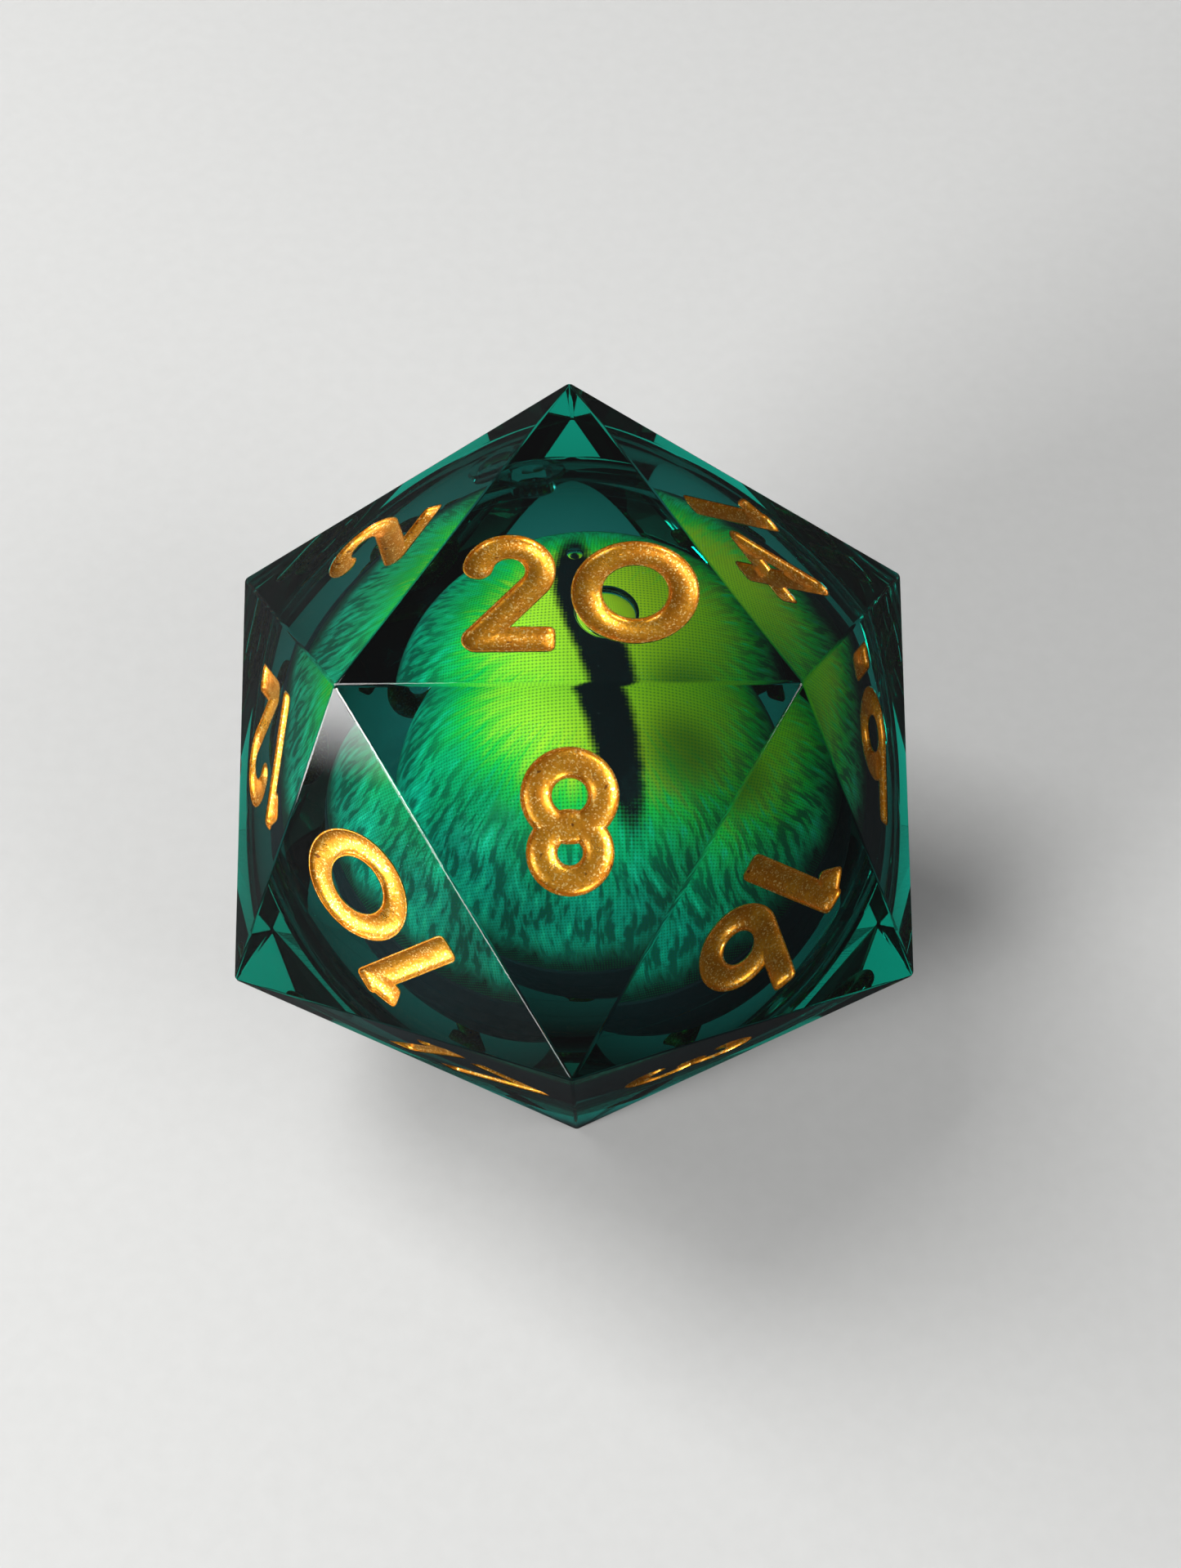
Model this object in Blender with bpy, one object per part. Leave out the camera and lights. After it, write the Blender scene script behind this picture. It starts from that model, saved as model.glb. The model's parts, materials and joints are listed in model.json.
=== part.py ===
"""Twenty-sided resin die with a liquid core: a weighted eyeball rests inside a clear ball that is
cast into the middle of the die, and each face carries an engraved number with a gold ink fill.

Metres, +Z up. The origin is the centre of the face the die rests on (the 1), under the 20.
"""

import math

import bmesh
import bpy
from mathutils import Matrix, Vector
from mathutils.geometry import delaunay_2d_cdt, tessellate_polygon

MM = 0.001

# ---- driving sizes ----------------------------------------------------------------------------
ACROSS_FACES = 35.0 * MM  # between opposite faces
CORE_OUTER_R = 15.0 * MM  # clear ball that holds the liquid
CORE_WALL = 1.1 * MM
EYE_R = 11.0 * MM  # outside of the eyeball in the liquid
EYE_REST = Vector((1.1, 0.3, -1.9)) * MM  # where its middle comes to rest, from the die's centre
EYE_WALL = 1.2 * MM
PRINT_THICK = 0.2 * MM  # printed iris film on the eyeball's front
PRINT_HALF_ANGLE = math.radians(80)
GAZE = (math.radians(12.8), math.radians(-113.6))  # lean of the print from +Z, and its heading
SEAM = 0.02 * MM  # gap left where two cast or glued pieces meet
DIGIT_H = 7.5 * MM  # height of a numeral
STROKE = 1.55 * MM  # width of its strokes
GROOVE_DEPTH = 0.6 * MM
INK_BELOW_FACE = 0.1 * MM  # how far the ink stays under the face
INK_GAP = 0.02 * MM  # all round the ink in its groove
DIGIT_SPACE = 0.8 * MM  # between the two digits of a number
BALL_SEGMENTS = 24
BALL_RINGS = 12  # from pole to pole

# ---- what follows from them -------------------------------------------------------------------
IN_R = ACROSS_FACES / 2
PHI = (1 + math.sqrt(5)) / 2
EDGE = IN_R * 12 / (math.sqrt(3) * (3 + math.sqrt(5)))
CENTRE = Vector((0, 0, IN_R))
TOP_R = EDGE / math.sqrt(3)  # corner circle of the top and bottom faces
BELT_R = PHI * TOP_R  # corner circle of the two belts
BELT_Z = math.sqrt((EDGE * math.sin(2 * math.pi / 5)) ** 2 - BELT_R**2)


def ring_point(radius, degrees, z):
    turn = math.radians(degrees)
    return Vector((radius * math.cos(turn), radius * math.sin(turn), z))


# corners about the die's centre: 0-2 round the top face, 3-5 the upper belt, then the lower ones
CORNERS = {
    0: ring_point(TOP_R, 90, IN_R),
    1: ring_point(TOP_R, 210, IN_R),
    2: ring_point(TOP_R, 330, IN_R),
    3: ring_point(BELT_R, 270, BELT_Z),
    4: ring_point(BELT_R, 150, BELT_Z),
    5: ring_point(BELT_R, 30, BELT_Z),
    6: ring_point(BELT_R, 210, -BELT_Z),
    7: ring_point(BELT_R, 330, -BELT_Z),
    8: ring_point(TOP_R, 270, -IN_R),
    9: ring_point(BELT_R, 90, -BELT_Z),
    10: ring_point(TOP_R, 30, -IN_R),
    11: ring_point(TOP_R, 150, -IN_R),
}

# number: (its three corners, the corner its numeral's top points to, shift right and up in mm)
FACES = {
    20: ((0, 1, 2), 0, (0.6, -0.9)),
    8: ((1, 2, 3), 3, (0.0, 0.2)),
    2: ((0, 1, 4), 4, (0.3, 0.5)),
    14: ((0, 2, 5), 5, (0.5, -0.4)),
    10: ((1, 3, 6), 6, (0.4, -0.1)),
    16: ((2, 3, 7), 7, (0.5, 0.5)),
    12: ((1, 4, 6), 6, (0.0, 0.0)),
    6: ((2, 5, 7), 7, (0.0, 0.6)),
    17: ((3, 6, 8), 3, (0.2, 0.0)),
    3: ((3, 7, 8), 7, (0.0, 0.0)),
    18: ((0, 4, 9), 4, (0.3, 0.0)),
    4: ((0, 5, 9), 9, (0.0, 0.0)),
    15: ((4, 6, 11), 4, (0.3, 0.0)),
    5: ((4, 9, 11), 4, (0.0, 0.0)),
    13: ((9, 10, 11), 9, (0.3, 0.0)),
    11: ((5, 9, 10), 5, (0.2, 0.0)),
    9: ((5, 7, 10), 5, (0.0, 0.6)),
    19: ((7, 8, 10), 7, (0.3, 0.0)),
    7: ((6, 8, 11), 6, (0.0, 0.0)),
    1: ((8, 10, 11), 8, (0.0, 0.0)),
}


# ---- scene helpers ----------------------------------------------------------------------------
for thing in list(bpy.data.objects):
    bpy.data.objects.remove(thing)

helpers = bpy.data.collections.new("helpers")
bpy.context.scene.collection.children.link(helpers)


def material(name, colour, roughness=0.3, metallic=0.0, clear=0.0):
    made = bpy.data.materials.new(name)
    made.use_nodes = True
    shader = made.node_tree.nodes["Principled BSDF"]
    shader.inputs["Base Color"].default_value = (*colour, 1)
    shader.inputs["Roughness"].default_value = roughness
    shader.inputs["Metallic"].default_value = metallic
    shader.inputs["Transmission Weight"].default_value = clear
    made.diffuse_color = (*colour, 1 - 0.65 * clear)
    return made


def add_object(name, points, faces, look=None):
    """A mesh object facing outward. Without a look it is a helper, kept out of the render."""
    mesh = bpy.data.meshes.new(name)
    shape = bmesh.new()
    corners = [shape.verts.new(p) for p in points]
    for face in faces:
        shape.faces.new([corners[i] for i in face])
    bmesh.ops.recalc_face_normals(shape, faces=shape.faces)
    shape.to_mesh(mesh)
    shape.free()
    made = bpy.data.objects.new(name, mesh)
    if look is None:
        helpers.objects.link(made)
        made.hide_render = True
        made.display_type = "WIRE"
    else:
        bpy.context.scene.collection.objects.link(made)
        mesh.materials.append(look)
    return made


def boolean(target, other, operation="DIFFERENCE"):
    step = target.modifiers.new(other.name, "BOOLEAN")
    step.operation = operation
    step.object = other
    step.solver = "EXACT"


def facing(direction, about=CENTRE):
    """Turns +Z to a direction, about the die's centre or another point."""
    return Matrix.Translation(about) @ Vector((0, 0, 1)).rotation_difference(
        Vector(direction)
    ).to_matrix().to_4x4()


def lathe(name, profile, look=None, place=None, segments=BALL_SEGMENTS):
    """Turns (r, z) points about Z. The profile starts and ends on the axis, or closes on itself."""
    points, rows, faces = [], [], []
    for r, z in profile:
        if r < 1e-9:
            rows.append([len(points)] * segments)
            points.append(Vector((0, 0, z)))
            continue
        rows.append([len(points) + i for i in range(segments)])
        points += [ring_point(r, 360 * i / segments, z) for i in range(segments)]
    pairs = list(zip(rows, rows[1:]))
    if profile[0][0] > 1e-9:
        pairs.append((rows[-1], rows[0]))
    for low, high in pairs:
        for i in range(segments):
            j = (i + 1) % segments
            face = list(dict.fromkeys((low[i], low[j], high[j], high[i])))
            if len(face) > 2:
                faces.append(face)
    if place is not None:
        points = [place @ p for p in points]
    return add_object(name, points, faces, look)


def arc(radius, start, end, steps):
    """(r, z) points on a circle about the centre; the angles are from +Z, in radians."""
    angles = [start + (end - start) * i / steps for i in range(steps + 1)]
    return [(abs(radius * math.sin(t)), radius * math.cos(t)) for t in angles]


# ---- numerals: strokes of one width with round ends, joined in the plane of the face ----------
def bend(cx, cy, rx, ry, start, end, step=22.5):
    """Points along part of an ellipse, in mm, from one angle to the other."""
    count = max(2, round(abs(end - start) / step))
    turns = [math.radians(start + (end - start) * i / count) for i in range(count + 1)]
    return [(cx + rx * math.cos(t), cy + ry * math.sin(t)) for t in turns]


TOP = DIGIT_H / MM / 2 - STROKE / MM / 2  # centre line of the highest stroke, in mm
# digit: (half its width, its strokes as centre lines in mm); a ring ends where it starts
DIGITS = {
    0: (3.25, [bend(0, 0, 2.47, 2.5, 0, 360)]),
    1: (1.2, [[(0.4, TOP), (0.4, -TOP)], [(0.4, TOP), (-0.5, TOP - 0.6)]]),
    2: (
        2.35,
        [
            bend(0, TOP - 1.6, 1.6, 1.6, 170, -30) + [(-1.55, -TOP)],
            [(-1.55, -TOP), (1.6, -TOP)],
        ],
    ),
    3: (
        2.4,
        [
            bend(-0.1, TOP - 1.45, 1.5, 1.45, 150, -90),
            bend(-0.1, 1.63 - TOP, 1.65, 1.63, 90, -150),
        ],
    ),
    4: (
        2.8,
        [
            [(0.8, TOP), (-2.0, -1.3), (2.05, -1.3)],
            [(0.8, TOP), (0.8, -TOP)],
        ],
    ),
    5: (
        2.4,
        [
            [(1.4, TOP), (-1.2, TOP), (-1.45, 0.35)],
            bend(-0.1, 1.8 - TOP, 1.75, 1.8, 135, -150),
        ],
    ),
    6: (
        2.55,
        [
            bend(0, 1.78 - TOP, 1.78, 1.78, 0, 360),
            [(-1.5, -0.25), (0.5, TOP)],
        ],
    ),
    7: (2.4, [[(-1.6, TOP), (1.6, TOP), (-0.6, -TOP)]]),
    8: (
        2.5,
        [
            bend(0, TOP - 1.42, 1.42, 1.42, 0, 360),
            bend(0, 1.66 - TOP, 1.68, 1.66, 0, 360),
        ],
    ),
}
DIGITS[9] = (DIGITS[6][0], [[(-x, -y) for x, y in line] for line in DIGITS[6][1]])
UNDERLINE = (1.6, [[(-0.8, 0), (0.8, 0)]])  # tells the 6 and the 9 apart
UNDERLINE_Y = -(DIGIT_H / MM / 2 + 1.5)




def thick_outline(line, half):
    """The quads along one stroke, mitred at its bends, and the fans that round its two ends."""
    closed = math.dist(line[0], line[-1]) < 1e-6
    points = line[:-1] if closed else line
    count = len(points)
    left, right = [], []
    for i, (x, y) in enumerate(points):
        before = points[i - 1] if closed or i > 0 else None
        after = points[(i + 1) % count] if closed or i < count - 1 else None
        normals = []
        for start, end in ((before, (x, y)), ((x, y), after)):
            if start is None or end is None:
                continue
            dx, dy = end[0] - start[0], end[1] - start[1]
            length = math.hypot(dx, dy)
            normals.append((-dy / length, dx / length))
        nx = sum(n[0] for n in normals)
        ny = sum(n[1] for n in normals)
        size = math.hypot(nx, ny)
        nx, ny = nx / size, ny / size
        reach = half / max(0.35, nx * normals[0][0] + ny * normals[0][1])
        left.append((x + nx * reach, y + ny * reach))
        right.append((x - nx * reach, y - ny * reach))
    pieces = []
    for i in range(count if closed else count - 1):
        j = (i + 1) % count
        pieces.append([right[i], right[j], left[j], left[i]])
    if not closed:
        for end, inner in ((points[0], points[1]), (points[-1], points[-2])):
            away = math.atan2(end[1] - inner[1], end[0] - inner[0])
            fan = [away + math.radians(a) for a in (-90, -45, 0, 45, 90)]
            pieces.append([(end[0] + half * math.cos(t), end[1] + half * math.sin(t)) for t in fan])
    return pieces


def loops_of(strokes, half):
    """The closed outlines, outer and inner, of the union of the strokes."""
    points, faces = [], []
    for line in strokes:
        for piece in thick_outline(line, half):
            faces.append(list(range(len(points), len(points) + len(piece))))
            points += [Vector(p) for p in piece]
    found = delaunay_2d_cdt(points, [], faces, 0, 1e-4)
    kept = [face for face, origin in zip(found[2], found[5]) if origin]
    sides = {}
    for face in kept:
        for a, b in zip(face, face[1:] + face[:1]):
            sides[a, b] = True
    after = {a: b for a, b in sides if (b, a) not in sides}
    loops = []
    while after:
        start, at = next(iter(after.items()))
        loop = [start]
        del after[start]
        while at != start:
            loop.append(at)
            at = after.pop(at)
        loops.append(tidy([found[0][i] for i in loop]))
    return loops


def tidy(loop):
    """Drops points that lie within 4 micrometres of the line between their neighbours."""
    changed = True
    while changed:
        changed = False
        for i in range(len(loop)):
            a, b, c = loop[i - 1], loop[i], loop[(i + 1) % len(loop)]
            span = (c - a).length
            off = abs((b - a).cross(c - a)) / span if span > 1e-6 else 0
            if off < 0.004 or (b - a).length < 0.03:
                loop = loop[:i] + loop[i + 1 :]
                changed = True
                break
    return loop


def prism(loops, low, high, place):
    """(points, faces) of the outlines, in mm, made solid between two heights in metres."""
    flat = [[Vector((p.x * MM, p.y * MM, 0)) for p in loop] for loop in loops]
    order = [p for loop in flat for p in loop]
    count = len(order)
    points = [place @ (p + Vector((0, 0, z))) for z in (low, high) for p in order]
    faces = []
    for a, b, c in tessellate_polygon(flat):
        faces.append((a, b, c))
        faces.append((a + count, b + count, c + count))
    first = 0
    for loop in flat:
        for i in range(len(loop)):
            a, b = first + i, first + (i + 1) % len(loop)
            faces.append((a, b, b + count, a + count))
        first += len(loop)
    return points, faces


def face_place(number):
    """Puts numeral space (x right, y up, z out of the face) onto a face."""
    corners, top, shift = FACES[number]
    middle = sum((CORNERS[i] for i in corners), Vector()) / 3
    out = middle.normalized()
    up = (CORNERS[top] - middle).normalized()
    right = up.cross(out)
    turn = Matrix((right, up, out)).transposed().to_4x4()
    move = Matrix.Translation(CENTRE + middle)
    return move @ turn @ Matrix.Translation(Vector((shift[0] * MM, shift[1] * MM, 0)))


def glyphs(number):
    """(name, strokes, shift along the line in mm, shift up in mm) of each mark on a face."""
    digits = [int(c) for c in str(number)]
    width = sum(2 * DIGITS[d][0] for d in digits) + DIGIT_SPACE / MM * (len(digits) - 1)
    at, found = -width / 2, []
    for place, digit in enumerate(digits):
        half, strokes = DIGITS[digit]
        part = ("_tens", "_units")[place] if len(digits) == 2 else ""
        found.append((f"ink_{number:02d}{part}", strokes, at + half, 0.0))
        at += 2 * half + DIGIT_SPACE / MM
    if number in (6, 9):
        found.append((f"ink_{number:02d}_underline", UNDERLINE[1], 0.0, UNDERLINE_Y))
    return found


# ---- materials --------------------------------------------------------------------------------
resin_look = material("teal_resin", (0.03, 0.32, 0.27), 0.08, clear=1.0)
core_look = material("clear_acrylic", (0.75, 0.9, 0.85), 0.05, clear=1.0)
glue_look = material("clear_glue", (0.6, 0.85, 0.7), 0.15, clear=1.0)
air_look = material("air", (0.9, 1.0, 0.95), 0.02, clear=1.0)
print_look = material("iris_print", (0.18, 0.55, 0.05), 0.45)
eye_look = material("black_plastic", (0.01, 0.012, 0.014), 0.35)
steel_look = material("steel", (0.55, 0.55, 0.57), 0.3, metallic=1.0)
gold_look = material("gold_ink", (0.72, 0.4, 0.09), 0.4, metallic=0.7)

# ---- resin: cast in two pours that meet halfway up --------------------------------------------
bm = bmesh.new()
for i in range(12):
    bm.verts.new(CENTRE + CORNERS[i])
bm.verts.ensure_lookup_table()
for corners, _, _ in FACES.values():
    bm.faces.new([bm.verts[i] for i in corners])
bmesh.ops.recalc_face_normals(bm, faces=bm.faces)
whole_die = bpy.data.meshes.new("whole_die")
bm.to_mesh(whole_die)
bm.free()

seat = lathe(
    "core_seat",
    arc(CORE_OUTER_R + 0.04 * MM, 0, math.pi, BALL_RINGS),
    place=Matrix.Translation(CENTRE),
)

grooves = {"upper": ([], []), "lower": ([], [])}
for number in FACES:
    place = face_place(number)
    half_die = "upper" if sum(CORNERS[i].z for i in FACES[number][0]) > 0 else "lower"
    for name, strokes, x, y in glyphs(number):
        shift = Matrix.Translation(Vector((x * MM, y * MM, 0)))
        half = STROKE / MM / 2
        points, faces = prism(
            loops_of(strokes, half), -GROOVE_DEPTH, 1.0 * MM, place @ shift
        )
        base = len(grooves[half_die][0])
        grooves[half_die][0].extend(points)
        grooves[half_die][1].extend([tuple(i + base for i in face) for face in faces])
        points, faces = prism(
            loops_of(strokes, half - INK_GAP / MM),
            INK_GAP - GROOVE_DEPTH,
            -INK_BELOW_FACE,
            place @ shift,
        )
        add_object(name, points, faces, gold_look)

PLUG_DIRECTION = (-0.14, 0.66, 0.74)
PLUG_R = 1.2 * MM
PLUG_HEAD_R = 1.9 * MM


def plug_profile(extra):
    """Stem through the core's wall with a flat head outside it."""
    head = CORE_OUTER_R + 0.05 * MM
    return [
        (0, CORE_OUTER_R - CORE_WALL - 0.02 * MM - extra),
        (PLUG_R + extra, CORE_OUTER_R - CORE_WALL - 0.02 * MM - extra),
        (PLUG_R + extra, head - extra),
        (PLUG_HEAD_R + extra, head - extra),
        (PLUG_HEAD_R + extra, head + 0.35 * MM + extra),
        (PLUG_HEAD_R * 0.6, head + 0.6 * MM + extra),
        (0, head + 0.6 * MM + extra),
    ]


plug_place = facing(PLUG_DIRECTION)
plug_room = lathe("plug_room", plug_profile(0.03 * MM), place=plug_place, segments=12)
lathe("core_fill_plug", plug_profile(0), glue_look, plug_place, segments=12)

for half_die, low, high in (
    ("upper", IN_R + SEAM / 2, 2 * ACROSS_FACES),
    ("lower", -ACROSS_FACES, IN_R - SEAM / 2),
):
    reach = 2 * ACROSS_FACES
    box = add_object(
        f"{half_die}_side",
        [(x, y, z) for x in (-reach, reach) for y in (-reach, reach) for z in (low, high)],
        [(0, 1, 3, 2), (4, 5, 7, 6), (0, 1, 5, 4), (2, 3, 7, 6), (0, 2, 6, 4), (1, 3, 7, 5)],
    )
    cutter = add_object(f"{half_die}_grooves", *grooves[half_die])
    resin = bpy.data.objects.new(f"resin_{half_die}", whole_die.copy())
    resin.data.materials.append(resin_look)
    bpy.context.scene.collection.objects.link(resin)
    boolean(resin, box, "INTERSECT")
    boolean(resin, seat)
    if half_die == "upper":
        boolean(resin, plug_room)
    boolean(resin, cutter)

# ---- core: two clear half balls glued at the seam, with a filling hole ------------------------
inner_r = CORE_OUTER_R - CORE_WALL
for half_die, flip in (("upper", 1), ("lower", -1)):
    rim = math.asin(SEAM / 2 / CORE_OUTER_R)
    outside = arc(CORE_OUTER_R, 0, math.pi / 2 - rim, BALL_RINGS // 2)
    inside = arc(inner_r, math.pi / 2 - rim, 0, BALL_RINGS // 2)
    profile = [(r, flip * z) for r, z in outside + inside]
    shell = lathe(
        f"core_shell_{half_die}", profile, core_look, Matrix.Translation(CENTRE)
    )
    if half_die == "upper":
        boolean(shell, plug_room)

# ---- the eyeball ------------------------------------------------------------------------------
lean, heading = GAZE
gaze = Vector(
    (
        math.sin(lean) * math.cos(heading),
        math.sin(lean) * math.sin(heading),
        math.cos(lean),
    )
)
eye_middle = CENTRE + EYE_REST
eye_place = facing(gaze, eye_middle)
under_print = EYE_R - PRINT_THICK
cap = arc(EYE_R, 0, PRINT_HALF_ANGLE, BALL_RINGS // 2)
cap += arc(under_print, PRINT_HALF_ANGLE, 0, BALL_RINGS // 2)
lathe("iris_print", cap, print_look, eye_place)

eye_in = EYE_R - EYE_WALL
front = arc(under_print - SEAM, 0, PRINT_HALF_ANGLE, BALL_RINGS // 2)
front += arc(under_print - SEAM, PRINT_HALF_ANGLE, math.radians(89.9), 2)[1:]
front += arc(eye_in, math.radians(89.9), 0, BALL_RINGS // 2)
lathe("eyeball_front", front, eye_look, eye_place)
back = arc(EYE_R, math.pi, math.radians(90.1), BALL_RINGS // 2)
back += arc(eye_in, math.radians(90.1), math.pi, BALL_RINGS // 2)
lathe("eyeball_back", back, eye_look, eye_place)

# the ballast is heavy enough to keep the print up, and set off to the other side of the eye's
# own lean, so that the eye comes to rest as it is drawn
ballast_half = math.radians(34)
ballast = arc(eye_in - 0.15 * MM, 0, ballast_half, 4)
ballast.append((0, ballast[-1][1]))
lathe(
    "eyeball_ballast",
    ballast,
    steel_look,
    facing((-0.46, -0.13, -0.88), eye_middle),
    segments=20,
)

# ---- air bubbles, pressed flat against the top of the core -----------------------------------
ceiling = inner_r * math.cos(math.pi / BALL_SEGMENTS) ** 2  # clear of the shell's flats
for name, direction, radius, thick in (
    ("air_bubble_large", (0.147, -0.01, 0.989), 1.7 * MM, 1.0 * MM),
    ("air_bubble_small", (0.02, 0.272, 0.962), 0.45 * MM, 0.25 * MM),
):
    middle = ceiling - 0.06 * MM - thick / 2
    reach = math.asin(radius / middle)
    dome = arc(middle + thick / 2, 0, reach * 0.8, 3)
    dome += [(radius, middle * math.cos(reach))]
    dome += arc(middle - thick / 2, reach * 0.8, 0, 3)
    lathe(name, dome, air_look, facing(direction), segments=16)
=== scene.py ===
"""Looks of the liquid core die: engraved tinted resin, gold filled numerals and the floating eye."""

import json
import math

import bmesh
import bpy
from mathutils import Matrix, Vector

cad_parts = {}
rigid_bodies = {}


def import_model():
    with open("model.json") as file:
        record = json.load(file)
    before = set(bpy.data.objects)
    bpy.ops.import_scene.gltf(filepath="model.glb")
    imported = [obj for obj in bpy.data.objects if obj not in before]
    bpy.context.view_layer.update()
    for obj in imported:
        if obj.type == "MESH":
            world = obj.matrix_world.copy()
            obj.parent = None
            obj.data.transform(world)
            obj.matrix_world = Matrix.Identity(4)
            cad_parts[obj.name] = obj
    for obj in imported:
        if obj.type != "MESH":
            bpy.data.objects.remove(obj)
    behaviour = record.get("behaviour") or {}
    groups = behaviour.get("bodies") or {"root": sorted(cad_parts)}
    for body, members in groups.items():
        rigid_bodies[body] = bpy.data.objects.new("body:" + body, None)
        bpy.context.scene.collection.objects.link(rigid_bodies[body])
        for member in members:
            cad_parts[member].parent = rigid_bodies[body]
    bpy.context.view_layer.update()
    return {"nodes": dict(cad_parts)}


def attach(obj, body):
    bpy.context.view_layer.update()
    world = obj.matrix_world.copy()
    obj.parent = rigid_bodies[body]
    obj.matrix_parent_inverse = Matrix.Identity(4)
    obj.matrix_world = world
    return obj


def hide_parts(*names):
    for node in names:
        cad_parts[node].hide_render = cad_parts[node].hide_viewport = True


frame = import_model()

MM = 0.001

# ---- sizes, as in the CAD ---------------------------------------------------------------------
ACROSS_FACES = 35.0 * MM
IN_R = ACROSS_FACES / 2
PHI = (1 + math.sqrt(5)) / 2
EDGE = IN_R * 12 / (math.sqrt(3) * (3 + math.sqrt(5)))
CENTRE = Vector((0, 0, IN_R))
TOP_R = EDGE / math.sqrt(3)
BELT_R = PHI * TOP_R
BELT_Z = math.sqrt((EDGE * math.sin(2 * math.pi / 5)) ** 2 - BELT_R**2)
CORE_OUTER_R = 15.0 * MM
CORE_INNER_R = 13.9 * MM
EYE_R = 11.0 * MM
EYE_MIDDLE = CENTRE + Vector((1.1, 0.3, -1.9)) * MM
EYE_WALL = 1.2 * MM
PRINT_THICK = 0.2 * MM
PRINT_HALF_ANGLE = math.radians(80)
GAZE_LEAN, GAZE_HEADING = math.radians(12.8), math.radians(-113.6)
DIGIT_H = 7.5  # mm, as are the numeral sizes below
STROKE = 1.55
DIGIT_SPACE = 0.8
GROOVE_DEPTH = 0.62

# ---- looks ------------------------------------------------------------------------------------
EDGE_ROUND = 0.12 * MM  # polish along the resin's edges
RESIN_TINT = (0.0, 0.75, 0.71)  # absorbed least in green
RESIN_DENSITY = 360.0  # per metre
RESIN_IOR = 1.5
CORE_IOR = 1.02  # of the resin against what is inside the core
SHELL_IOR = 1.06  # of the core's wall against the liquid
GOLD_THICK = 0.07  # mm of ink on the groove's wall
GOLD_DIP = 0.36  # mm from the face down to the ink in the middle of a stroke
GOLD_LAP = 0.012  # mm the ink reaches into the resin, so that no air shows between them
GOLD_BELOW_FACE = 0.03
GLUE_IOR = 1.12  # of the glue plug against what is round it
AIR_IOR = 0.75  # of the bubbles against the liquid
PLAIN_GRAIN = 1500.0  # scale of the unevenness of plain surfaces
SEAT_GAP = 0.02 * MM  # between the core and the resin round it
SEAT_REACH = 0.05 * MM  # how far from the core the resin counts as its seat
SEAT_FADE = 0.1 * MM
CORE_SEAM = 0.01 * MM  # half the gap between the core's halves
FLAT_SLACK = 0.001 * MM  # a face this near its plane counts as flat
FRONT_RIM, BACK_RIM = math.radians(89.9), math.radians(90.1)  # where the eye's halves end
BUBBLE_FROM_WALL = 0.3 * MM
BUBBLE_STEPS = 16
WORLD_COLOUR, WORLD_POWER = (0.55, 0.56, 0.58), 0.2
# name, body, direction from the die's centre, radius, thickness
BUBBLES = (
    ("large", "large_bubble", (0.147, -0.01, 0.989), 1.7 * MM, 1.0 * MM),
    ("small", "small_bubble", (0.02, 0.272, 0.962), 0.45 * MM, 0.25 * MM),
)
# name, place in metres, size in metres, power in watts
LAMPS = (
    ("key", (-0.40, -0.33, 0.20), 0.22, 4.0),
    ("top", (-0.28, 0.16, 0.55), 0.30, 2.5),
    ("side", (-0.45, 0.22, 0.20), 0.25, 1.5),
    ("fill", (0.34, -0.22, 0.30), 0.25, 0.8),
)

CORNERS = {}
for first, radius, height, start in (
    (0, TOP_R, IN_R, (90, 210, 330)),
    (3, BELT_R, BELT_Z, (270, 150, 30)),
):
    for i, turn in enumerate(start):
        a = math.radians(turn)
        CORNERS[first + i] = Vector((radius * math.cos(a), radius * math.sin(a), height))
for lower, upper in ((6, 5), (7, 4), (9, 3), (8, 0), (10, 1), (11, 2)):
    CORNERS[lower] = -CORNERS[upper]

# number: (its corners, the corner its top points to, shift right and up in mm)
FACES = {
    20: ((0, 1, 2), 0, (0.6, -0.9)),
    8: ((1, 2, 3), 3, (0.0, 0.2)),
    2: ((0, 1, 4), 4, (0.3, 0.5)),
    14: ((0, 2, 5), 5, (0.5, -0.4)),
    10: ((1, 3, 6), 6, (0.4, -0.1)),
    16: ((2, 3, 7), 7, (0.5, 0.5)),
    12: ((1, 4, 6), 6, (0.0, 0.0)),
    6: ((2, 5, 7), 7, (0.0, 0.6)),
    17: ((3, 6, 8), 3, (0.2, 0.0)),
    3: ((3, 7, 8), 7, (0.0, 0.0)),
    18: ((0, 4, 9), 4, (0.3, 0.0)),
    4: ((0, 5, 9), 9, (0.0, 0.0)),
    15: ((4, 6, 11), 4, (0.3, 0.0)),
    5: ((4, 9, 11), 4, (0.0, 0.0)),
    13: ((9, 10, 11), 9, (0.3, 0.0)),
    11: ((5, 9, 10), 5, (0.2, 0.0)),
    9: ((5, 7, 10), 5, (0.0, 0.6)),
    19: ((7, 8, 10), 7, (0.3, 0.0)),
    7: ((6, 8, 11), 6, (0.0, 0.0)),
    1: ((8, 10, 11), 8, (0.0, 0.0)),
}


def bend(cx, cy, rx, ry, start, end, step=6.0):
    """Points along part of an ellipse, in mm, from one angle to the other."""
    count = max(2, round(abs(end - start) / step))
    turns = [math.radians(start + (end - start) * i / count) for i in range(count + 1)]
    return [(cx + rx * math.cos(t), cy + ry * math.sin(t)) for t in turns]


def straight(*corners):
    """Points along straight runs, close enough together for the ink's unevenness."""
    points = [corners[0]]
    for (ax, ay), (bx, by) in zip(corners, corners[1:]):
        count = max(1, round(math.hypot(bx - ax, by - ay) / 0.3))
        points += [
            (ax + (bx - ax) * i / count, ay + (by - ay) * i / count) for i in range(1, count + 1)
        ]
    return points


TOP = DIGIT_H / 2 - STROKE / 2
ROUND, SQUARE = 2.0, 5.0  # how an end is shaped: the power of its superellipse
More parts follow.
